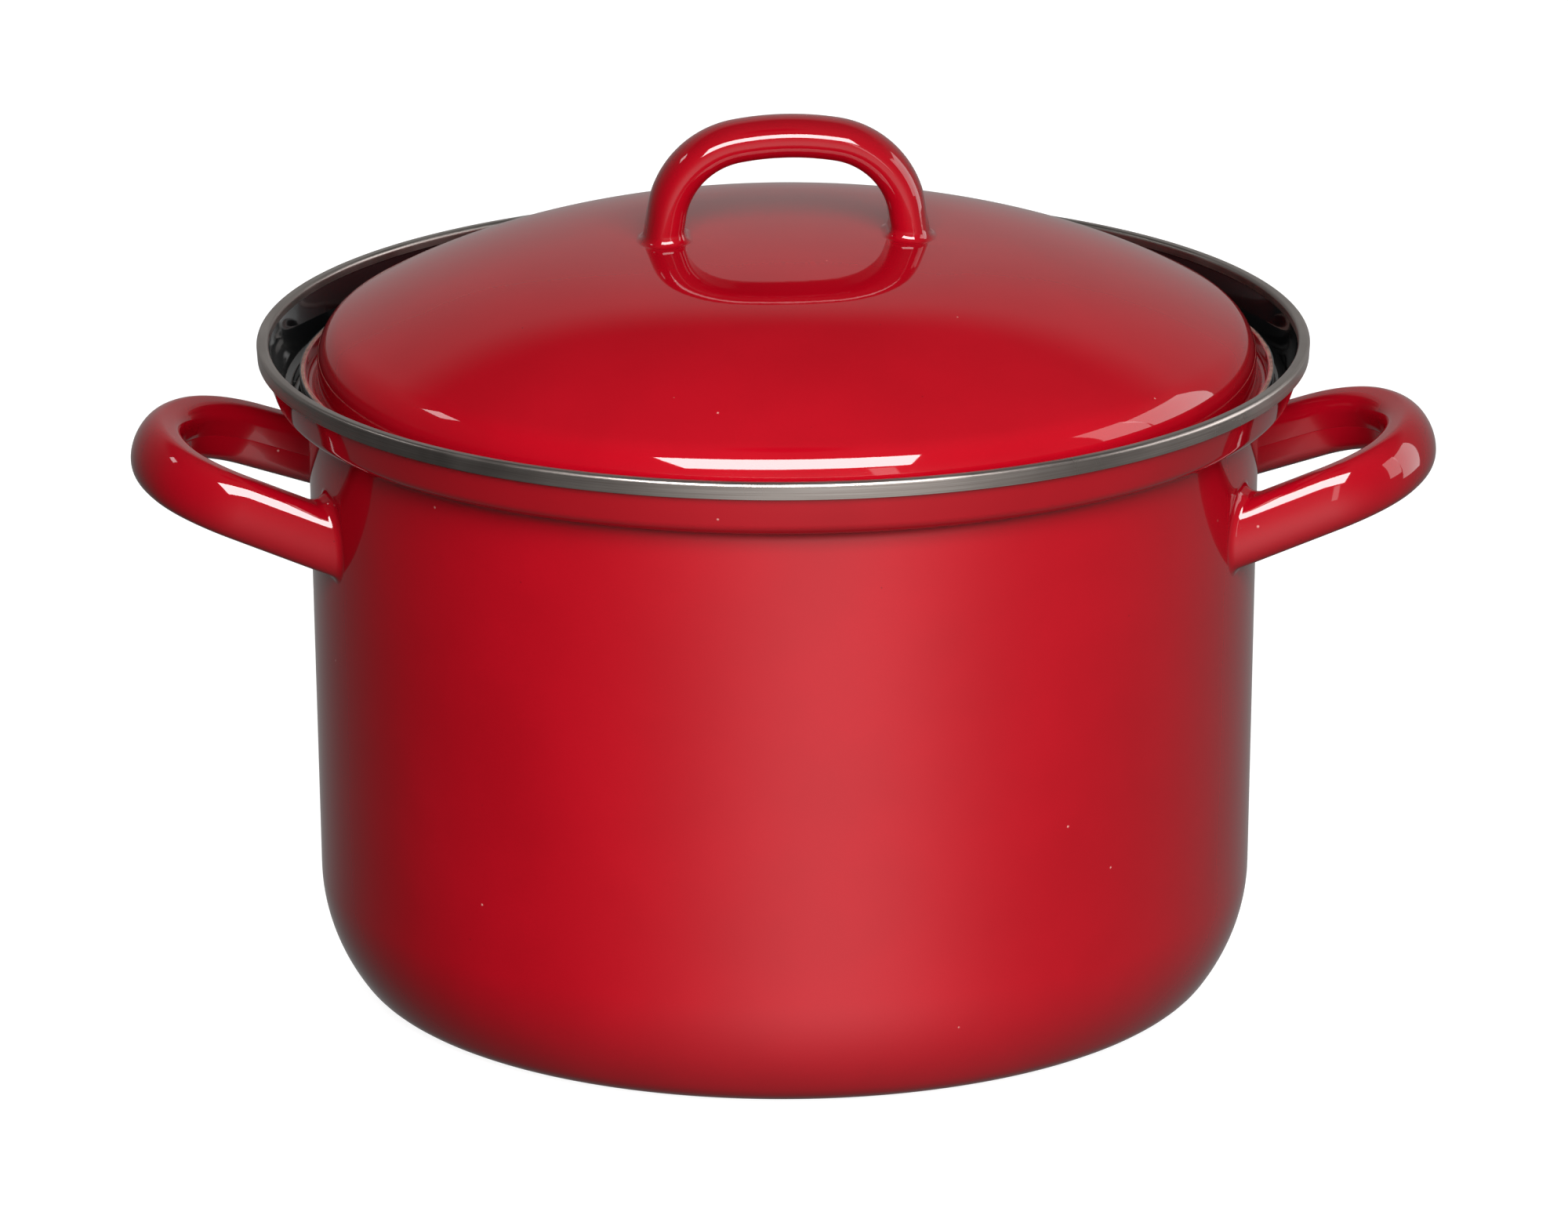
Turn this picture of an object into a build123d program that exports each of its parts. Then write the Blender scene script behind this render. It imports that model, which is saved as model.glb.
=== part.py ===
from build123d import *
from math import atan, atan2, cos, degrees, radians, sin, sqrt
import os

os.makedirs("parts", exist_ok=True)

# Enamelled steel stock pot with a domed lid, two side handles and a steel band round the rim.
# Millimetres. Origin in the middle of the flat base, +Z up, +X towards the right-hand side handle.

# ---- sheet ---------------------------------------------------------------------------------
steel = 0.8                       # pressed steel sheet of pot and lid
coat = 0.3                        # vitreous enamel on each side of the sheet
sheet = steel + 2 * coat

# ---- pot: shape of the outer face ------------------------------------------------------------
wall_foot_radius = 115.6          # where the wall leaves the bottom corner
wall_foot_z = 30.1
wall_top_radius = 117.6           # where the wall runs into the neck under the collar
ledge_z = 150.4                   # underside of the ledge at the foot of the collar
base_turn = 12.0                  # bottom corner: tight radius next to the base
side_turn = 44.0                  # bottom corner: long radius running up into the wall
neck_radius = 1.6                 # hollow corner between wall and ledge
step_radius = 2.5                 # outer corner between ledge and collar
collar_lean = 19.5                # flare of the collar, degrees from vertical
collar_radius = 128.56            # collar radius at collar_z
collar_z = 161.2
lip_radius = 128.95               # upright lip held in the rim band
lip_turn = 3.0
lip_top = 164.2

# ---- rim band: thin stainless channel clipped over the lip ------------------------------------
band_radius = 130.0
band_sheet = 0.5
band_top = 165.2
band_skirt_z = 161.2              # lower edge of the outer leg
band_skirt_radius = 129.8
band_turn = 1.0                   # size of the crown's corners
band_inner_radius = lip_radius - sheet - band_sheet

# ---- lid: shape of the top face ----------------------------------------------------------------
dome_top = 191.6
crown_radius = 437.0              # shallow middle of the dome, where the handle stands
crown_angle = 6.2                 # half the angle the crown spans
flank_radius = 170.0              # steeper flank outside the crown
shoulder_turn = 10.4
dome_wall_radius = 116.0
trough_z = 154.95                 # centre of the round trough between dome wall and flange
trough_turn = 1.45
flange_top = 157.8

# ---- how the loose lid lies on the ledge, with play all round ------------------------------------------
lid_turned = 4.0                  # degrees about Z
lid_pushed = 0.9                  # towards +X

# ---- handles: rolled sheet tube, flat towards the fingers, bulged outwards ------------------------
tube_sheet = 1.2

grip_right_z = 126.1              # side handles: height of the tube's middle where it meets the wall
grip_left_z = 125.7
grip_left_swing = 1.25            # degrees the left handle is welded round from straight opposite
grip_origin = 117.0
grip_tilt = 18.2                  # loop rises outwards
grip_half_spread = 37.1
grip_lean = 10.3                  # legs draw together outwards
grip_reach = 41.1
grip_corner = 26.8
grip_end = 44.0
grip_bulge = 4.6                  # section: middle line to outer face
grip_flat = 6.4                   # section: middle line to flat inner face
grip_half_height = 7.8
grip_section_turn = 4.0
grip_root = 16.0                  # length of leg drawn inside the wall before trimming

knob_z = 192.0                    # lid handle
knob_half_spread = 30.6
knob_lean = 8.9
knob_reach = 24.35
knob_corner = 21.3
knob_end = 71.2
knob_bulge = 4.7
knob_flat = 4.85
knob_half_height = 8.15
knob_section_turn = 4.3
knob_root = 6.0

grip_bead = 2.4                   # enamelled weld bead round each foot, measured up the leg
knob_bead = 2.0


def along(point, distance, angle):
    """Point at a distance from another, in a direction given in degrees."""
    return (point[0] + distance * cos(radians(angle)), point[1] + distance * sin(radians(angle)))


def draw_chain(start, arcs, end):
    """Arcs (centre, radius, first angle, last angle) joined by straight lines from start to end."""
    here = start
    for centre, radius, first, last in arcs:
        entry = along(centre, radius, first)
        if abs(entry[0] - here[0]) + abs(entry[1] - here[1]) > 1e-4:
            Line(here, entry)
        CenterArc(centre, radius, first, last - first)
        here = along(centre, radius, last)
    Line(here, end)


# ---- pot: corner centres shared by every layer of the sheet, so the layers lie face to face --------
wall_taper = degrees(atan((wall_top_radius - wall_foot_radius) / (ledge_z - neck_radius - wall_foot_z)))
side_centre = along((wall_foot_radius, wall_foot_z), side_turn, 180 - wall_taper)
base_centre = (
    side_centre[0] + sqrt((side_turn - base_turn) ** 2 - (side_centre[1] - base_turn) ** 2),
    base_turn,
)
base_to_side = degrees(atan2(base_centre[1] - side_centre[1], base_centre[0] - side_centre[0]))
neck_centre = (wall_top_radius + neck_radius, ledge_z - neck_radius)


def on_collar(z):
    """Radius of the collar's outer face at a height."""
    return collar_radius - (collar_z - z) * sin(radians(collar_lean)) / cos(radians(collar_lean))


step_touch_z = ledge_z + step_radius - step_radius * sin(radians(collar_lean))
step_centre = along((on_collar(step_touch_z), step_touch_z), step_radius, 180 - collar_lean)
lip_touch = lip_radius - lip_turn + lip_turn * cos(radians(collar_lean))
lip_touch_z = collar_z + (lip_touch - collar_radius) * cos(radians(collar_lean)) / sin(radians(collar_lean))
lip_centre = along((lip_touch, lip_touch_z), lip_turn, 180 - collar_lean)


def pot_face(depth):
    """Pot outline at a depth below the outer face, from the axis out and up to the lip."""
    arcs = [
        (base_centre, base_turn - depth, -90, base_to_side),
        (side_centre, side_turn - depth, base_to_side, -wall_taper),
        (neck_centre, neck_radius + depth, 180 - wall_taper, 90),
        (step_centre, step_radius - depth, -90, -collar_lean),
        (lip_centre, lip_turn - depth, -collar_lean, 0),
    ]
    draw_chain((0, depth), arcs, (lip_radius - depth, lip_top))


def pot_layer(outer_depth, inner_depth):
    """Closed outline of one layer of the pot's sheet."""
    pot_face(outer_depth)
    pot_face(inner_depth)
    Line((lip_radius - outer_depth, lip_top), (lip_radius - inner_depth, lip_top))
    Line((0, outer_depth), (0, inner_depth))


with BuildPart() as pot_shell:
    with BuildSketch(Plane.XZ):
        with BuildLine():
            pot_layer(coat, coat + steel)
        make_face()
    revolve(axis=Axis.Z)
pot_shell.part.label = "pot_shell"

with BuildPart() as pot_outer_enamel:
    with BuildSketch(Plane.XZ):
        with BuildLine():
            pot_layer(0, coat)
        make_face()
    revolve(axis=Axis.Z)
pot_outer_enamel.part.label = "pot_outer_enamel"

with BuildPart() as pot_inner_enamel:
    with BuildSketch(Plane.XZ):
        with BuildLine():
            pot_layer(coat + steel, sheet)
        make_face()
    revolve(axis=Axis.Z)
pot_inner_enamel.part.label = "pot_inner_enamel"

# Everything the pot's outer face encloses, used to trim the handle legs to the wall.
with BuildPart() as pot_envelope:
    with BuildSketch(Plane.XZ):
        with BuildLine():
            pot_face(0)
            Polyline((lip_radius, lip_top), (0, lip_top), (0, 0))
        make_face()
    revolve(axis=Axis.Z)

# ---- rim band --------------------------------------------------------------------------------------
def band_face(depth):
    """Band outline at a depth below its outer face: skirt, faceted crown and the leg inside the lip."""
    crown_z = band_top - band_turn
    turns = [
        ((band_radius - band_turn, crown_z), (0, 30, 60, 90)),
        ((band_inner_radius + band_turn, crown_z), (90, 120, 150, 180)),
    ]
    crown = [along(centre, band_turn - depth, angle) for centre, angles in turns for angle in angles]
    skirt_foot = (band_skirt_radius - depth, band_skirt_z)
    leg_foot = (band_inner_radius + depth, lip_centre[1])
    return [skirt_foot, *crown, leg_foot]


with BuildPart() as rim_band:
    with BuildSketch(Plane.XZ):
        with BuildLine():
            outside = band_face(0)
            inside = band_face(band_sheet)
            Polyline(*outside, *reversed(inside), outside[0])
        make_face()
    revolve(axis=Axis.Z)
rim_band.part.label = "rim_band"

# ---- lid ---------------------------------------------------------------------------------------------
crown_centre = (0, dome_top - crown_radius)
crown_to_flank = 90 - crown_angle
flank_centre = along(crown_centre, crown_radius - flank_radius, crown_to_flank)
shoulder_x = dome_wall_radius - shoulder_turn
shoulder_run = shoulder_x - flank_centre[0]
shoulder_centre = (
    shoulder_x,
    flank_centre[1] + sqrt((flank_radius - shoulder_turn) ** 2 - shoulder_run ** 2),
)
flank_to_shoulder = degrees(atan2(shoulder_centre[1] - flank_centre[1], shoulder_run))
trough_centre = (dome_wall_radius + trough_turn, trough_z)


def lid_face(depth):
    """Lid outline at a depth below the top face, from the axis out to the flange edge."""
    arcs = [
        (crown_centre, crown_radius - depth, 90, crown_to_flank),
        (flank_centre, flank_radius - depth, crown_to_flank, flank_to_shoulder),
        (shoulder_centre, shoulder_turn - depth, flank_to_shoulder, 0),
        (trough_centre, trough_turn + depth, 180, 360),
    ]
    draw_chain((0, dome_top - depth), arcs, (trough_centre[0] + trough_turn + depth, flange_top))


def lid_layer(upper_depth, lower_depth):
    """Closed outline of one layer of the lid's sheet."""
    lid_face(upper_depth)
    lid_face(lower_depth)
    flange_face = trough_centre[0] + trough_turn
    Line((flange_face + upper_depth, flange_top), (flange_face + lower_depth, flange_top))
    Line((0, dome_top - upper_depth), (0, dome_top - lower_depth))


with BuildPart() as lid_shell:
    with BuildSketch(Plane.XZ):
        with BuildLine():
            lid_layer(coat, coat + steel)
        make_face()
    revolve(axis=Axis.Z)
lid_shell.part.label = "lid_shell"

with BuildPart() as lid_top_enamel:
    with BuildSketch(Plane.XZ):
        with BuildLine():
            lid_layer(0, coat)
        make_face()
    revolve(axis=Axis.Z)
lid_top_enamel.part.label = "lid_top_enamel"

with BuildPart() as lid_under_enamel:
    with BuildSketch(Plane.XZ):
        with BuildLine():
            lid_layer(coat + steel, sheet)
        make_face()
    revolve(axis=Axis.Z)
lid_under_enamel.part.label = "lid_under_enamel"

# Everything under the dome's crown, used to trim the lid handle's legs and the welds at their feet.
with BuildPart() as lid_envelope:
    with BuildSketch(Plane.XZ):
        with BuildLine():
            draw_chain((0, dome_top), [(crown_centre, crown_radius, 90, crown_to_flank)], (0, trough_z))
            Line((0, trough_z), (0, dome_top))
        make_face()
    revolve(axis=Axis.Z)


# ---- handles -------------------------------------------------------------------------------------------
def draw_loop(half_spread, lean, reach, corner, end, root):
    """Middle line of a handle, X outwards from its seat: two legs, two corners and a shallow end."""
    end_centre = (reach - end, 0)
    start = (-corner * sin(radians(lean)), half_spread - corner * cos(radians(lean)))
    gap = (start[0] - end_centre[0], start[1])
    travel = gap[0] * cos(radians(lean)) - gap[1] * sin(radians(lean))
    leg = -travel + sqrt(travel ** 2 - gap[0] ** 2 - gap[1] ** 2 + (end - corner) ** 2)
    corner_centre = along(start, leg, -lean)
    corner_to_end = degrees(atan2(corner_centre[1], corner_centre[0] - end_centre[0]))
    arcs = [
        (corner_centre, corner, 90 - lean, corner_to_end),
        (end_centre, end, corner_to_end, -corner_to_end),
        ((corner_centre[0], -corner_centre[1]), corner, -corner_to_end, lean - 90),
    ]
    foot = along((0, half_spread), -root, -lean)
    draw_chain(foot, arcs, (foot[0], -foot[1]))


def draw_section(bulge, flat, half_height, turn):
    """Tube section: half an ellipse on the outer side, a flat with rounded corners on the inner."""
    EllipticalCenterArc((0, 0), bulge, half_height, start_angle=-90, arc_size=180)
    draw_chain(
        (0, half_height),
        [
            ((turn - flat, half_height - turn), turn, 90, 180),
            ((turn - flat, turn - half_height), turn, 180, 270),
        ],
        (0, -half_height),
    )


def handle_tubes(plane, loop_sizes, section_sizes):
    """Outer solid of a handle and the bore through it, both swept along the loop in the plane."""
    with BuildLine(plane) as loop:
        draw_loop(*loop_sizes)
    path = loop.wires()[0]
    across = path % 0
    outwards = plane.z_dir.cross(across)
    seat = Plane(origin=path @ 0, x_dir=outwards, z_dir=across)
    with BuildPart() as solid:
        with BuildSketch(seat):
            with BuildLine():
                draw_section(*section_sizes)
            make_face()
        sweep(path=path)
    with BuildPart() as bore:
        with BuildSketch(seat):
            with BuildLine():
                draw_section(*[size - tube_sheet for size in section_sizes])
            make_face()
        sweep(path=path)
    return solid.part, bore.part


def grip_plane(direction, height):
    """Plane of a side handle's loop that leaves the pot in a direction given in degrees about Z."""
    x, y = cos(radians(direction)), sin(radians(direction))
    run, rise = cos(radians(grip_tilt)), sin(radians(grip_tilt))
    return Plane(
        origin=(grip_origin * x, grip_origin * y, height),
        x_dir=(run * x, run * y, rise),
        z_dir=(-rise * x, -rise * y, run),
    )


grip_loop = (grip_half_spread, grip_lean, grip_reach, grip_corner, grip_end, grip_root)
grip_section = (grip_bulge, grip_flat, grip_half_height, grip_section_turn)
right_plane = grip_plane(0, grip_right_z)
left_plane = grip_plane(180 + grip_left_swing, grip_left_z)
right_solid, right_bore = handle_tubes(right_plane, grip_loop, grip_section)
left_solid, left_bore = handle_tubes(left_plane, grip_loop, grip_section)

knob_loop = (knob_half_spread, knob_lean, knob_reach, knob_corner, knob_end, knob_root)
knob_section = (knob_bulge, knob_flat, knob_half_height, knob_section_turn)
knob_plane = Plane(origin=(0, 0, knob_z), x_dir=(0, 0, 1), z_dir=(0, 1, 0))
knob_solid, knob_bore = handle_tubes(knob_plane, knob_loop, knob_section)

with BuildPart() as side_handle_right:
    add(right_solid)
    add(right_bore, mode=Mode.SUBTRACT)
    add(pot_envelope.part, mode=Mode.SUBTRACT)
side_handle_right.part.label = "side_handle_right"

with BuildPart() as side_handle_left:
    add(left_solid)
    add(left_bore, mode=Mode.SUBTRACT)
    add(pot_envelope.part, mode=Mode.SUBTRACT)
side_handle_left.part.label = "side_handle_left"

with BuildPart() as lid_handle:
    add(knob_solid)
    add(knob_bore, mode=Mode.SUBTRACT)
    add(lid_envelope.part, mode=Mode.SUBTRACT)
lid_handle.part.label = "lid_handle"


def foot_beads(seat_body, tube, size):
    """Bevelled beads round a handle's two feet: the bevelled joint less the two bodies it joins."""
    joined = seat_body + tube
    bevelled = chamfer(new_edges(seat_body, tube, combined=joined), size)
    left_over = bevelled - seat_body - tube
    return left_over.solids().sort_by(SortBy.VOLUME)[:2]


right_beads = foot_beads(pot_envelope.part, right_solid, grip_bead)
left_beads = foot_beads(pot_envelope.part, left_solid, grip_bead)
knob_beads = foot_beads(lid_envelope.part, knob_solid, knob_bead)

with BuildPart() as side_handle_right_welds:
    add(right_beads)
side_handle_right_welds.part.label = "side_handle_right_welds"

with BuildPart() as side_handle_left_welds:
    add(left_beads)
side_handle_left_welds.part.label = "side_handle_left_welds"

with BuildPart() as lid_handle_welds:
    add(knob_beads)
lid_handle_welds.part.label = "lid_handle_welds"

pot_pieces = [
    pot_shell,
    pot_outer_enamel,
    pot_inner_enamel,
    rim_band,
    side_handle_left,
    side_handle_left_welds,
    side_handle_right,
    side_handle_right_welds,
]
lid_pieces = [
    lid_shell,
    lid_top_enamel,
    lid_under_enamel,
    lid_handle,
    lid_handle_welds,
]

# The lid is drawn about the pot's axis and laid on the ledge in one move.
lid_place = Location((lid_pushed, 0, 0), (0, 0, lid_turned))

for piece in pot_pieces:
    export_step(piece.part, f"parts/{piece.part.label}.step")
for piece in lid_pieces:
    laid = lid_place * piece.part
    laid.label = piece.part.label
    export_step(laid, f"parts/{laid.label}.step")
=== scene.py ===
import math
import bpy
from mathutils import Matrix, Vector


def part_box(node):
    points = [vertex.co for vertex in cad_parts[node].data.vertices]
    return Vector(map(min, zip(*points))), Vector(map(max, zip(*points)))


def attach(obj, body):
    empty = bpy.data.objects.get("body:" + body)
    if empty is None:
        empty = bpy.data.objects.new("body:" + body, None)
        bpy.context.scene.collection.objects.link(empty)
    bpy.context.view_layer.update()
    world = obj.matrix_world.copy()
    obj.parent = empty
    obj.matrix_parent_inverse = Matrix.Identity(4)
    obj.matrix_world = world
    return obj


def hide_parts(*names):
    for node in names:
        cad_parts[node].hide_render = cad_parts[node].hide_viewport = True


# Enamelled stock pot with its lid. Profiles are in millimetres, as in the CAD, and turned into
# metres when a mesh is made.

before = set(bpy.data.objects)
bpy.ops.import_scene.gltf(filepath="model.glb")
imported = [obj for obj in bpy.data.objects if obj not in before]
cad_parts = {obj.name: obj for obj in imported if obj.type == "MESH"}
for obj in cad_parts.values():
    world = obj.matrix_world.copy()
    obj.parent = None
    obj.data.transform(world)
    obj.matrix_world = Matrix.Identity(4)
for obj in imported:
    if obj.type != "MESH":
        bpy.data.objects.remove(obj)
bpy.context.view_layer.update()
MM = 0.001

# ------------------------------------------------------------------------------------------------
# Sizes: heights hang on the CAD nodes' boxes. The rest are the CAD's driving dimensions, with the
# neck and step under the collar rounder and the side handles curled.
# ------------------------------------------------------------------------------------------------
COAT, STEEL = 0.3, 0.8
SHEET = STEEL + 2 * COAT
LIP_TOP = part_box("pot_outer_enamel")[1].z / MM
BAND_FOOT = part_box("rim_band")[0].z / MM
BAND_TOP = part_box("rim_band")[1].z / MM
DOME_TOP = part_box("lid_top_enamel")[1].z / MM

WALL_FOOT, WALL_TOP = (115.6, 30.1), (117.57, 147.0)
BASE_TURN, SIDE_TURN, NECK_TURN, STEP_TURN, LIP_TURN = 12.0, 44.0, 3.4, 5.0, 3.0
LEDGE_Z = 150.4
COLLAR_LEAN, COLLAR = 19.5, (128.56, 161.2)
LIP_R = 128.95

BAND_R, BAND_SKIRT_R, BAND_SHEET, BAND_TURN = 130.0, 129.8, 0.5, 1.0

CROWN_R, CROWN_A, FLANK_R, SHOULDER_TURN, DOME_WALL_R = 437.0, 83.8, 170.0, 10.4, 116.0
TROUGH_Z, TROUGH_TURN, FLANGE_TOP = 154.95, 1.45, 157.8
LID_PUSHED, LID_TURNED = 0.9, 4.0

GRIP_ORIGIN, GRIP_TILT, GRIP_SAG, GRIP_FLARE = 117.0, 23.4, 0.0043, 3.2
GRIPS = (("right", 0.0, 125.6), ("left", 181.25, 125.0))
GRIP_LINE = dict(half_spread=37.0, lean=9.35, reach=41.2, corner=25.7, end=43.5)
GRIP_TUBE = dict(bulge=4.6, flat=6.3, half=7.8, turn=4.0, groove=0.08)
KNOB_Z, KNOB_FLARE = 192.0, 2.4
KNOB_LINE = dict(half_spread=30.6, lean=8.9, reach=24.35, corner=21.3, end=71.2)
KNOB_TUBE = dict(bulge=4.7, flat=4.85, half=8.15, turn=4.3)


# ------------------------------------------------------------------------------------------------
# Profiles
# ------------------------------------------------------------------------------------------------
def polar(centre, radius, degrees):
    """Point on a circle."""
    t = math.radians(degrees)
    return (centre[0] + radius * math.cos(t), centre[1] + radius * math.sin(t))


def chain(start, arcs, end, step=1.2):
    """Points along arcs (centre, radius, first, last) joined by straight runs."""
    points = [start]

    def run_to(p):
        q = points[-1]
        if math.dist(p, q) > 1e-4:
            n = max(1, int(math.dist(p, q) / 6.0))
            steps = [i / n for i in range(1, n + 1)]
            points.extend((q[0] + (p[0] - q[0]) * f, q[1] + (p[1] - q[1]) * f) for f in steps)

    for centre, radius, first, last in arcs:
        run_to(polar(centre, radius, first))
        n = max(8, int(abs(math.radians(last - first)) * radius / step))
        points.extend(polar(centre, radius, first + (last - first) * i / n) for i in range(1, n + 1))
    run_to(end)
    return points


TAPER = math.degrees(math.atan((WALL_TOP[0] - WALL_FOOT[0]) / (WALL_TOP[1] - WALL_FOOT[1])))
LEAN = math.tan(math.radians(COLLAR_LEAN))
SIDE_C = polar(WALL_FOOT, SIDE_TURN, 180 - TAPER)
BASE_C = (SIDE_C[0] + math.sqrt((SIDE_TURN - BASE_TURN) ** 2 - (SIDE_C[1] - BASE_TURN) ** 2), BASE_TURN)
BASE_A = math.degrees(math.atan2(BASE_C[1] - SIDE_C[1], BASE_C[0] - SIDE_C[0]))
NECK_C = (WALL_TOP[0] + NECK_TURN, LEDGE_Z - NECK_TURN)
STEP_Z = LEDGE_Z + STEP_TURN - STEP_TURN * math.sin(math.radians(COLLAR_LEAN))
STEP_C = polar((COLLAR[0] - (COLLAR[1] - STEP_Z) * LEAN, STEP_Z), STEP_TURN, 180 - COLLAR_LEAN)
LIP_X = LIP_R - LIP_TURN + LIP_TURN * math.cos(math.radians(COLLAR_LEAN))
LIP_C = polar((LIP_X, COLLAR[1] + (LIP_X - COLLAR[0]) / LEAN), LIP_TURN, 180 - COLLAR_LEAN)
CROWN_C = (0.0, DOME_TOP - CROWN_R)
FLANK_C = polar(CROWN_C, CROWN_R - FLANK_R, CROWN_A)
SHOULDER_X = DOME_WALL_R - SHOULDER_TURN
SHOULDER_DX = SHOULDER_X - FLANK_C[0]
SHOULDER_C = (SHOULDER_X, FLANK_C[1] + math.sqrt((FLANK_R - SHOULDER_TURN) ** 2 - SHOULDER_DX ** 2))
FLANK_A = math.degrees(math.atan2(SHOULDER_C[1] - FLANK_C[1], SHOULDER_DX))
TROUGH_C = (DOME_WALL_R + TROUGH_TURN, TROUGH_Z)


def pot_face(depth):
    """Pot outline at a depth below its outer face, from the axis out and up to the lip."""
    arcs = [
        (BASE_C, BASE_TURN - depth, -90, BASE_A),
        (SIDE_C, SIDE_TURN - depth, BASE_A, -TAPER),
        (NECK_C, NECK_TURN + depth, 180 - TAPER, 90),
        (STEP_C, STEP_TURN - depth, -90, -COLLAR_LEAN),
        (LIP_C, LIP_TURN - depth, -COLLAR_LEAN, 0),
    ]
    return chain((0, depth), arcs, (LIP_R - depth, LIP_TOP))


def lid_face(depth):
    """Lid outline at a depth below its top face, from the axis out to the flange edge."""
    edge = TROUGH_C[0] + TROUGH_TURN + depth
    arcs = [
        (CROWN_C, CROWN_R - depth, 90, CROWN_A),
        (FLANK_C, FLANK_R - depth, CROWN_A, FLANK_A),
        (SHOULDER_C, SHOULDER_TURN - depth, FLANK_A, 0),
        (TROUGH_C, TROUGH_TURN + depth, 180, 360),
    ]
    return chain((0, DOME_TOP - depth), arcs, (edge, FLANGE_TOP), 1.5)


def band_face(depth):
    """Rim band outline at a depth below its outer face: skirt, crown and the leg inside the lip."""
    inner = LIP_R - SHEET - BAND_SHEET
    crown = BAND_TOP - BAND_TURN
    arcs = [
        ((BAND_R - BAND_TURN, crown), BAND_TURN - depth, 0, 90),
        ((inner + BAND_TURN, crown), BAND_TURN - depth, 90, 180),
    ]
    return chain((BAND_SKIRT_R - depth, BAND_FOOT), arcs, (inner + depth, LIP_C[1]), 0.12)


# ------------------------------------------------------------------------------------------------
# Mesh builders
# ------------------------------------------------------------------------------------------------
def new_mesh(name, verts, faces, sharp=35, place=None):
    """Smooth-shaded mesh object from millimetre points, moved to its place first."""
    if place:
        verts = [place @ Vector(v) for v in verts]
    mesh = bpy.data.meshes.new(name)
    mesh.from_pydata([[c * MM for c in v] for v in verts], [], faces)
    mesh.validate()
    mesh.shade_smooth()
    mesh.set_sharp_from_angle(angle=math.radians(sharp))
    piece = bpy.data.objects.new(name, mesh)
    bpy.context.scene.collection.objects.link(piece)
    return piece


def revolve(name, profile, segments=320, closed=False, place=None):
    """Turns (radius, height) points about Z; a point on the axis becomes one vertex."""
    verts, rows = [], []
    for r, z in profile:
        if r < 1e-6:
            rows.append([len(verts)] * segments)
            verts.append((0, 0, z))
        else:
            rows.append(list(range(len(verts), len(verts) + segments)))
            turn = [2 * math.pi * i / segments for i in range(segments)]
            verts += [(r * math.cos(t), r * math.sin(t), z) for t in turn]
    pairs = list(zip(rows, rows[1:]))
    if closed:
        pairs.append((rows[-1], rows[0]))
    faces = []
    for a, b in pairs:
        for i in range(segments):
            j = (i + 1) % segments
            quad = [a[i], a[j], b[j], b[i]]
            face = [v for k, v in enumerate(quad) if v != quad[k - 1]]
            if len(face) > 2:
                faces.append(face)
    return new_mesh(name, verts, faces, place=place)


def loop_line(half_spread, lean, reach, corner, end, step=0.6):
    """Bent part of a handle's middle line in its own plane, from the top of one leg round to the
    top of the other, as (point, direction of travel) pairs."""
    slope = math.radians(lean)
    end_c = (reach - end, 0.0)
    start = (-corner * math.sin(slope), half_spread - corner * math.cos(slope))
    gap = (start[0] - end_c[0], start[1])
    travel = gap[0] * math.cos(slope) - gap[1] * math.sin(slope)
    leg = -travel + math.sqrt(travel ** 2 - gap[0] ** 2 - gap[1] ** 2 + (end - corner) ** 2)
    c = (start[0] + leg * math.cos(slope), start[1] - leg * math.sin(slope))
    meet = math.degrees(math.atan2(c[1], c[0] - end_c[0]))
    far_c = (c[0], -c[1])
    arcs = ((c, corner, 90 - lean, meet), (end_c, end, meet, -meet), (far_c, corner, -meet, lean - 90))
    line = []
    for centre, radius, first, last in arcs:
        n = max(6, int(math.radians(first - last) * radius / step))
        line += [(centre, radius, first + (last - first) * i / n) for i in range(n)]
    line.append((far_c, corner, lean - 90))
    return [(polar(c, r, t), (math.sin(math.radians(t)), -math.cos(math.radians(t)))) for c, r, t in line]


def tube_section(bulge, flat, half, turn, groove=0.0):
    """Closed D outline as (across, up, normal across, normal up), clockwise from the top of the bulge.
    A groove is the closed seam along the middle of the flat side."""
    out = []
    for i in range(41):
        t = math.pi / 2 - math.pi * i / 40
        nx, ny = math.cos(t) / bulge, math.sin(t) / half
        k = math.hypot(nx, ny)
        out.append((bulge * math.cos(t), half * math.sin(t), nx / k, ny / k))
    out.append(((turn - flat) / 2, -half, 0, -1))

    def corner(up, first):
        for i in range(11):
            t = math.radians(first - 9 * i)
            out.append((turn - flat + turn * math.cos(t), up + turn * math.sin(t), math.cos(t), math.sin(t)))

    edge = half - turn
    seam = [(-1.5, 0), (-1, 0.1), (-0.5, 0.6), (0, 0.85), (0.5, 0.6), (1, 0.1), (1.5, 0)] if groove else []
    flat_side = [(-0.6 * edge, 0), *((k * groove, depth) for k, depth in seam), (0.6 * edge, 0)]
    corner(-edge, 270)
    out += [(depth * groove - flat, y, -1, 0) for y, depth in flat_side]
    corner(edge, 180)
    out.append(((turn - flat) / 2, half, 0, 1))
    return out


LEG_STEPS, FLARE_STEPS = 8, 12
SUNK = 0.03


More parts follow.
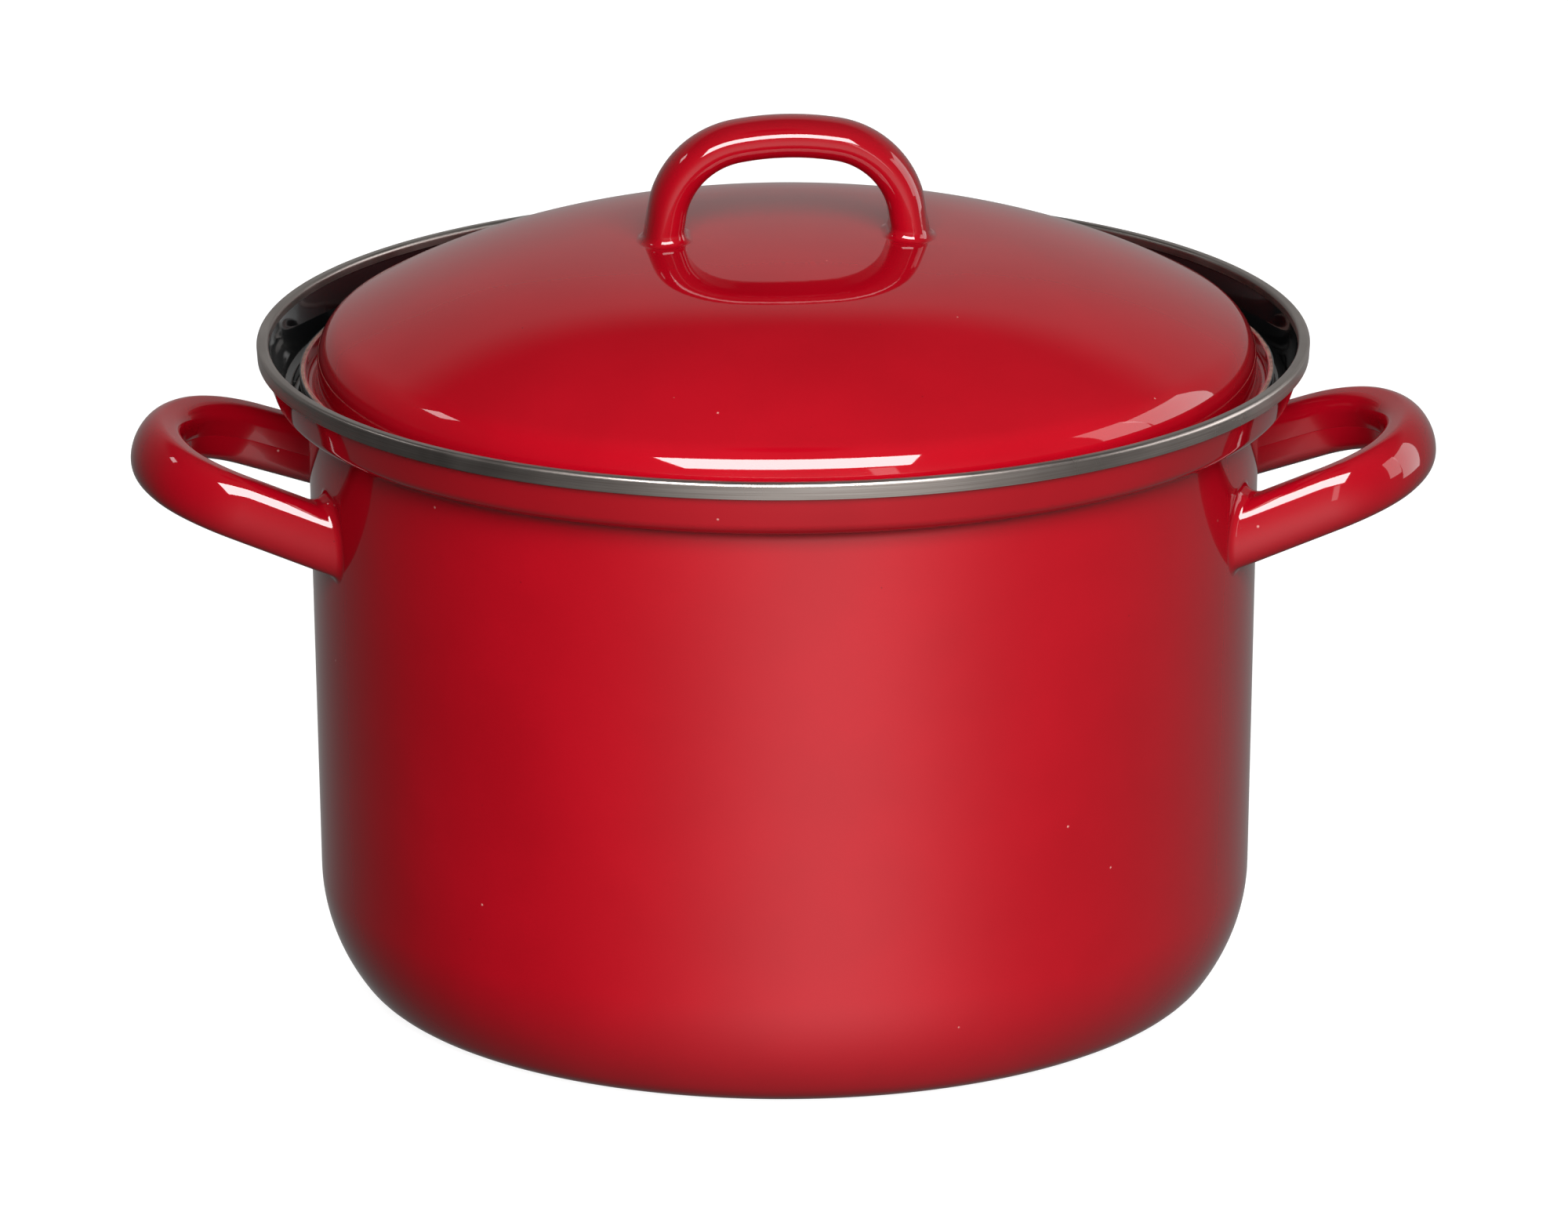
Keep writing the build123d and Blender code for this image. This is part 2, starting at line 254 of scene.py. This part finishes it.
def leg_rings(centre, toward, out, up, section, seat, flare):
    """Rings from the top of a straight leg down to its seat, where the tube spreads in a fillet and
    ends SUNK below the face. seat(point) is the signed distance from the face the foot stands on."""
    columns = []
    axes = [Vector(e) * 0.01 for e in ((1, 0, 0), (0, 1, 0), (0, 0, 1))]
    for a, b, na, nb in section:
        start = centre + out * a + up * b
        near, far = 0.0, 60.0
        for _ in range(40):
            mid = (near + far) / 2
            near, far = (mid, far) if seat(start + toward * mid) > 0 else (near, mid)
        hit = start + toward * near
        m = Vector([seat(hit + e) - seat(hit - e) for e in axes]).normalized()
        back = -toward
        n = out * na + up * nb
        away = (n - back * (n.dot(m) / back.dot(m))).normalized()
        half = back.angle(away) / 2
        bend = hit + (back + away).normalized() * (flare / math.sin(half))
        v0 = hit + back * (flare / math.tan(half)) - bend
        v1 = hit + away * (flare / math.tan(half)) - bend
        turn = v0.angle(v1)
        column = [start + (bend + v0 - start) * (i / LEG_STEPS) for i in range(1, LEG_STEPS + 1)]
        for i in range(1, FLARE_STEPS + 1):
            f = i / FLARE_STEPS
            q = bend + (v0 * math.sin((1 - f) * turn) + v1 * math.sin(f * turn)) / math.sin(turn)
            column.append(q - m * (f ** 3) * (seat(q) + SUNK))
        columns.append(column)
    return [[column[i] for column in columns] for i in range(LEG_STEPS + FLARE_STEPS)]


def handle(name, origin, ex, ey, line, section, seat, flare, sag=0.0, place=None):
    """Tube swept along a handle's line, with both feet run down to the seat and closed there.
    ex points away from the seat and ey across the feet; sag curls the far end down a little."""
    up = ex.cross(ey)

    def station(p, d):
        centre = origin + ex * p[0] + ey * p[1] - up * (sag * p[0] ** 2 / 2)
        travel = ex * d[0] + ey * d[1] - up * (sag * p[0] * d[0])
        return centre, travel.normalized(), ey * d[0] - ex * d[1]

    rings = []
    for p, d in line:
        centre, _, out = station(p, d)
        rings.append([centre + out * a + up * b for a, b, na, nb in section])
    feet = []
    for k, sign in ((0, -1), (-1, 1)):
        centre, travel, out = station(*line[k])
        feet.append(leg_rings(centre, travel * sign, out, up, section, seat, flare))
    rings = feet[0][::-1] + rings + feet[1]
    n = len(section)
    verts = [tuple(v) for ring in rings for v in ring]
    faces = []
    for i in range(len(rings) - 1):
        for j in range(n):
            k = (j + 1) % n
            faces.append(((i + 1) * n + j, (i + 1) * n + k, i * n + k, i * n + j))
    faces.append(tuple(range(n)))
    faces.append(tuple(reversed(range(len(verts) - n, len(verts)))))
    return new_mesh(name, verts, faces, sharp=60, place=place)


def layer(name, face, near, far, flip=False, place=None):
    """Closed solid between two depths of a sheet: out along one face, back along the other."""
    profile = face(near) + face(far)[::-1]
    return revolve(name, profile[::-1] if flip else profile, place=place)


def wall_gap(p):
    """Signed distance from the pot's wall."""
    wall = WALL_FOOT[0] + (p.z - WALL_FOOT[1]) * math.tan(math.radians(TAPER))
    return (math.hypot(p.x, p.y) - wall) * math.cos(math.radians(TAPER))


def dome_gap(p):
    """Signed distance from the crown of the dome."""
    return (p - Vector((0, 0, CROWN_C[1]))).length - CROWN_R


# ------------------------------------------------------------------------------------------------
# Pieces
# ------------------------------------------------------------------------------------------------
laid = Matrix.Translation((LID_PUSHED, 0, 0)) @ Matrix.Rotation(math.radians(LID_TURNED), 4, "Z")

pot_outside = layer("pot_outside", pot_face, 0.0, COAT)
pot_sheet = layer("pot_sheet", pot_face, COAT, COAT + STEEL)
pot_inside = layer("pot_inside", pot_face, COAT + STEEL, SHEET)
lid_top = layer("lid_top", lid_face, 0.0, COAT, flip=True, place=laid)
lid_sheet = layer("lid_sheet", lid_face, COAT, COAT + STEEL, flip=True, place=laid)
lid_underside = layer("lid_underside", lid_face, COAT + STEEL, SHEET, flip=True, place=laid)
band = revolve("rim_channel", band_face(0) + band_face(BAND_SHEET)[::-1], 400, closed=True)

grips = []
for label, swing, height in GRIPS:
    t, tilt = math.radians(swing), math.radians(GRIP_TILT)
    ex = Vector((math.cos(t) * math.cos(tilt), math.sin(t) * math.cos(tilt), math.sin(tilt)))
    ey = Vector((-math.sin(t), math.cos(t), 0))
    origin = Vector((GRIP_ORIGIN * math.cos(t), GRIP_ORIGIN * math.sin(t), height))
    line, section = loop_line(**GRIP_LINE), tube_section(**GRIP_TUBE)
    grips.append(handle("grip_" + label, origin, ex, ey, line, section, wall_gap, GRIP_FLARE, GRIP_SAG))
ex, ey, origin = Vector((0, 0, 1)), Vector((1, 0, 0)), Vector((0, 0, KNOB_Z))
line, section = loop_line(**KNOB_LINE), tube_section(**KNOB_TUBE)
knob = handle("knob_loop", origin, ex, ey, line, section, dome_gap, KNOB_FLARE, place=laid)

for piece, body, nodes, slot in (
    (pot_outside, "pot", ["pot_outer_enamel"], "red_enamel"),
    (pot_sheet, "pot", ["pot_shell"], "bare_steel"),
    (pot_inside, "pot", ["pot_inner_enamel"], "black_enamel"),
    (band, "pot", ["rim_band"], "stainless"),
    (grips[0], "pot", ["side_handle_right", "side_handle_right_welds"], "red_enamel"),
    (grips[1], "pot", ["side_handle_left", "side_handle_left_welds"], "red_enamel"),
    (lid_top, "lid", ["lid_top_enamel"], "red_enamel"),
    (lid_sheet, "lid", ["lid_shell"], "bare_steel"),
    (lid_underside, "lid", ["lid_under_enamel"], "black_enamel"),
    (knob, "lid", ["lid_handle", "lid_handle_welds"], "red_enamel"),
):
    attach(piece, body)
    for node in nodes:
        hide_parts(node)


# ------------------------------------------------------------------------------------------------
# Materials
# ------------------------------------------------------------------------------------------------
class Look:
    """A Principled material with short ways to lay procedural detail on its sockets."""

    def __init__(self, name, color, roughness, metallic=0.0):
        self.mat = bpy.data.materials.new(name)
        self.mat.use_nodes = True
        self.nodes = self.mat.node_tree.nodes
        self.link = self.mat.node_tree.links.new
        self.shader = self.nodes["Principled BSDF"]
        self.shader.inputs["Base Color"].default_value = (*color, 1)
        self.shader.inputs["Roughness"].default_value = roughness
        self.shader.inputs["Metallic"].default_value = metallic
        self.coord = self.nodes.new("ShaderNodeTexCoord").outputs["Object"]

    def stretched(self, scale):
        """Object coordinates scaled differently along each axis."""
        node = self.nodes.new("ShaderNodeMapping")
        node.inputs["Scale"].default_value = scale
        self.link(self.coord, node.inputs["Vector"])
        return node.outputs["Vector"]

    def noise(self, scale, detail=2.0, vector=None):
        node = self.nodes.new("ShaderNodeTexNoise")
        node.inputs["Scale"].default_value = scale
        node.inputs["Detail"].default_value = detail
        self.link(vector or self.coord, node.inputs["Vector"])
        return node.outputs["Fac"]

    def specks(self, scale, size, share):
        """1 inside small round specks that sit in a share of the cells, else 0."""
        node = self.nodes.new("ShaderNodeTexVoronoi")
        node.inputs["Scale"].default_value = scale
        self.link(self.coord, node.inputs["Vector"])
        split = self.nodes.new("ShaderNodeSeparateColor")
        self.link(node.outputs["Color"], split.inputs["Color"])
        near = self.span(node.outputs["Distance"], size, size * 0.5, 0.0, 1.0)
        chosen = self.span(split.outputs["Red"], share, share * 0.98, 0.0, 1.0)
        both = self.nodes.new("ShaderNodeMath")
        both.operation = "MULTIPLY"
        self.link(near, both.inputs[0])
        self.link(chosen, both.inputs[1])
        return both.outputs["Value"]

    def span(self, value, lo, hi, out_lo, out_hi):
        """Clamped linear map from one range to another."""
        node = self.nodes.new("ShaderNodeMapRange")
        for key, number in (("From Min", lo), ("From Max", hi), ("To Min", out_lo), ("To Max", out_hi)):
            node.inputs[key].default_value = number
        self.link(value, node.inputs["Value"])
        return node.outputs["Result"]

    def mix(self, factor, under, over):
        """Blend of two colours, each given as numbers or as an output."""
        node = self.nodes.new("ShaderNodeMix")
        node.data_type = "RGBA"
        self.link(factor, node.inputs["Factor"])
        for socket, colour in ((node.inputs["A"], under), (node.inputs["B"], over)):
            if isinstance(colour, tuple):
                socket.default_value = (*colour, 1)
            else:
                self.link(colour, socket)
        return node.outputs["Result"]

    def bump(self, height, distance, under=None):
        node = self.nodes.new("ShaderNodeBump")
        node.inputs["Strength"].default_value = 1.0
        node.inputs["Distance"].default_value = distance
        self.link(height, node.inputs["Height"])
        if under:
            self.link(under, node.inputs["Normal"])
        return node.outputs["Normal"]

    def set(self, socket, output):
        self.link(output, self.shader.inputs[socket])


def enamel(name, deep, bright, dust, roughness):
    """Glossy vitreous enamel: slow drift in depth of colour, fine mottle, orange peel and stray specks."""
    look = Look(name, bright, roughness)
    drift = look.span(look.noise(26, 3), 0.35, 0.65, 0.0, 1.0)
    ground = look.mix(drift, deep, bright)
    mottle = look.span(look.noise(1500, 2), 0.35, 0.65, 0.0, 0.16)
    ground = look.mix(mottle, ground, deep)
    pale = look.specks(190, 0.075, 0.05)
    dark = look.specks(300, 0.08, 0.03)
    ground = look.mix(look.span(dark, 0, 1, 0, 0.5), ground, (0.01, 0.002, 0.002))
    look.set("Base Color", look.mix(look.span(pale, 0, 1, 0, 0.6), ground, dust))
    smear = look.noise(40, 4)
    look.set("Roughness", look.span(smear, 0.3, 0.7, roughness * 0.75, roughness * 1.35))
    peel = look.bump(look.noise(420, 1), 0.000004)
    wave = look.bump(look.noise(45, 1), 0.00002, peel)
    look.set("Normal", look.bump(pale, 0.00002, wave))
    return look.mat


# Deep colour, bright colour, colour of the pale specks, roughness. The handles get a darker copy of the same
# red, which is painted shade, and a little more roughness.
red = enamel("red_enamel", (0.200, 0.0008, 0.0044), (0.222, 0.0010, 0.0052), (0.45, 0.24, 0.21), 0.035)
# Same red enamel as the pot, darkened as painted shade on the handles.
shaded_handle_red = enamel(
    "handle_enamel_painted_shade", (0.160, 0.0006, 0.0036), (0.182, 0.0008, 0.0044), (0.36, 0.19, 0.17), 0.045
)
black = enamel("black_enamel", (0.0012, 0.0013, 0.0014), (0.0025, 0.0027, 0.0029), (0.08, 0.08, 0.08), 0.05)

cut = Look("cut_edge", (0.2, 0.1, 0.08), 0.5, 0.3)
stain = cut.span(cut.noise(350, 3), 0.35, 0.65, 0, 1)
cut.set("Base Color", cut.mix(stain, (0.13, 0.055, 0.045), (0.27, 0.14, 0.11)))
cut.set("Roughness", cut.span(cut.noise(500), 0.3, 0.7, 0.4, 0.6))
cut.set("Normal", cut.bump(cut.noise(900), 0.00003))

satin = Look("stainless", (0.55, 0.54, 0.53), 0.3, 1.0)
lines = satin.noise(30, 3, satin.stretched((1, 1, 160)))
streaks = satin.span(lines, 0.3, 0.7, 0, 1)
satin.set("Base Color", satin.mix(streaks, (0.30, 0.26, 0.24), (0.43, 0.39, 0.365)))
satin.set("Roughness", satin.span(satin.noise(60, 4), 0.3, 0.7, 0.26, 0.38))
satin.set("Normal", satin.bump(lines, 0.00004))

for pieces, mat in (
    ((pot_outside, lid_top), red),
    ((knob, *grips), shaded_handle_red),
    ((pot_inside, lid_underside), black),
    ((pot_sheet, lid_sheet), cut.mat),
    ((band,), satin.mat),
):
    for piece in pieces:
        piece.data.materials.append(mat)

# ------------------------------------------------------------------------------------------------
# Floor and studio
# ------------------------------------------------------------------------------------------------
FLOOR_SIZE, FLOOR_DROP = 14, 0.0002
bpy.ops.mesh.primitive_plane_add(size=FLOOR_SIZE, location=(0, 0, -FLOOR_DROP))
floor = bpy.context.object
floor.name = "floor"
paper = Look("paper", (0.16, 0.16, 0.16), 0.9)
paper.shader.inputs["Emission Color"].default_value = (1, 1, 1, 1)
paper.shader.inputs["Emission Strength"].default_value = 0.9
floor.data.materials.append(paper.mat)
floor.visible_glossy = False
floor.visible_diffuse = False
floor.visible_shadow = False


def heading(azimuth, elevation):
    """Unit vector; azimuth 0 is the front (-Y) and grows towards +X."""
    a, e = math.radians(azimuth), math.radians(elevation)
    return Vector((math.sin(a) * math.cos(e), -math.cos(a) * math.cos(e), math.sin(e)))


LIGHT_AIM = Vector((0, 0, 0.1))


def panel(name, azimuth, elevation, width, height, radiance, roll=0.0, distance=3.0, mirrored=True):
    """Rectangular soft light facing the pot, its size given in degrees as the pot sees it. It is
    either mirrored in the gloss or lights the colour underneath."""
    data = bpy.data.lights.new(name, "AREA")
    data.shape = "RECTANGLE"
    data.size = 2 * distance * math.tan(math.radians(width / 2))
    data.size_y = 2 * distance * math.tan(math.radians(height / 2))
    data.energy = radiance * math.pi * data.size * data.size_y
    lamp = bpy.data.objects.new(name, data)
    away = heading(azimuth, elevation)
    turn = away.to_track_quat("Z", "Y").to_matrix().to_4x4() @ Matrix.Rotation(math.radians(roll), 4, "Z")
    lamp.matrix_world = Matrix.Translation(away * distance + LIGHT_AIM) @ turn
    lamp.visible_camera = False
    lamp.visible_glossy = mirrored
    lamp.visible_diffuse = not mirrored
    bpy.context.scene.collection.objects.link(lamp)


panel("softbox_front", 1, 47, 50, 26, 20.0, roll=5)
panel("strip_front", 23.5, 15, 6, 30, 2.2)
panel("window_near", 89, 19, 16, 29, 2.6)
panel("window_far", 111, 13, 26, 37, 2.6)
panel("lamp_left", -110, 37, 9, 6, 5.0)
panel("key_front", 8, 29, 46, 34, 21.5, distance=2.2, mirrored=False)
panel("fill_back", 185, 10, 50, 30, 11.0, mirrored=False)
panel("bounce_low", 8, -50, 60, 32, 0.55, distance=0.35, mirrored=False)

# Each glow is a direction, a sharpness, a strength and an elevation above which it fades.
world = bpy.data.worlds.new("studio")
bpy.context.scene.world = world
world.use_nodes = True
world.cycles_visibility.diffuse = False     # the panels alone light the colour under the gloss
nodes, link = world.node_tree.nodes, world.node_tree.links.new
direction = nodes.new("ShaderNodeTexCoord").outputs["Generated"]
split = nodes.new("ShaderNodeSeparateXYZ")
link(direction, split.inputs["Vector"])
BACKGROUND = 0.02
total = None
for azimuth, elevation, sharpness, strength, top in (
    (12, -22, 7.0, 1.0, 90),
    (10, -60, 3.0, 0.2, 90),
    (180, 12, 3.0, 0.32, 42),
    (30, 78, 4.0, 0.13, 90),
    (105, -5, 2.5, 0.15, 90),
    (0, 15, 5.0, 0.12, 90),
):
    dot = nodes.new("ShaderNodeVectorMath")
    dot.operation = "DOT_PRODUCT"
    dot.inputs[1].default_value = heading(azimuth, elevation)
    link(direction, dot.inputs[0])
    fall = nodes.new("ShaderNodeMath")
    fall.operation = "MULTIPLY_ADD"
    fall.inputs[1].default_value = sharpness
    fall.inputs[2].default_value = -sharpness
    link(dot.outputs["Value"], fall.inputs[0])
    glow = nodes.new("ShaderNodeMath")
    glow.operation = "EXPONENT"
    link(fall.outputs["Value"], glow.inputs[0])
    fade = nodes.new("ShaderNodeMapRange")
    fade.interpolation_type = "SMOOTHSTEP"
    fade.inputs["From Min"].default_value = math.sin(math.radians(top)) + 0.001
    fade.inputs["From Max"].default_value = math.sin(math.radians(top - 10))
    fade.inputs["To Max"].default_value = strength
    link(split.outputs["Z"], fade.inputs["Value"])
    add = nodes.new("ShaderNodeMath")
    add.operation = "MULTIPLY_ADD"
    add.inputs[2].default_value = BACKGROUND
    link(glow.outputs["Value"], add.inputs[0])
    link(fade.outputs["Result"], add.inputs[1])
    if total:
        link(total, add.inputs[2])
    total = add.outputs["Value"]
link(total, nodes["Background"].inputs["Strength"])
nodes["Background"].inputs["Color"].default_value = (1.0, 0.99, 0.975, 1)

# ------------------------------------------------------------------------------------------------
# Camera
# ------------------------------------------------------------------------------------------------
DISTANCE, ELEVATION, ROLL = 3.25, 0.298627, -0.0029395      # metres and radians
AIM = Vector((0, 0, 0.0945880))
across = Vector((1, 0, 0))
rise = Vector((0, math.sin(ELEVATION), math.cos(ELEVATION)))
right = across * math.cos(ROLL) + rise * math.sin(ROLL)
up = rise * math.cos(ROLL) - across * math.sin(ROLL)
back = Vector((0, -math.cos(ELEVATION), math.sin(ELEVATION)))
lens = bpy.data.cameras.new("camera")
lens.sensor_width = 36.0
lens.lens = 300.3
lens.clip_end = 50
camera = bpy.data.objects.new("camera", lens)
bpy.context.scene.collection.objects.link(camera)
turn = Matrix((right, up, back)).transposed().to_4x4()
camera.matrix_world = Matrix.Translation(AIM + back * DISTANCE) @ turn
bpy.context.scene.camera = camera
bpy.context.scene.view_settings.view_transform = "Standard"
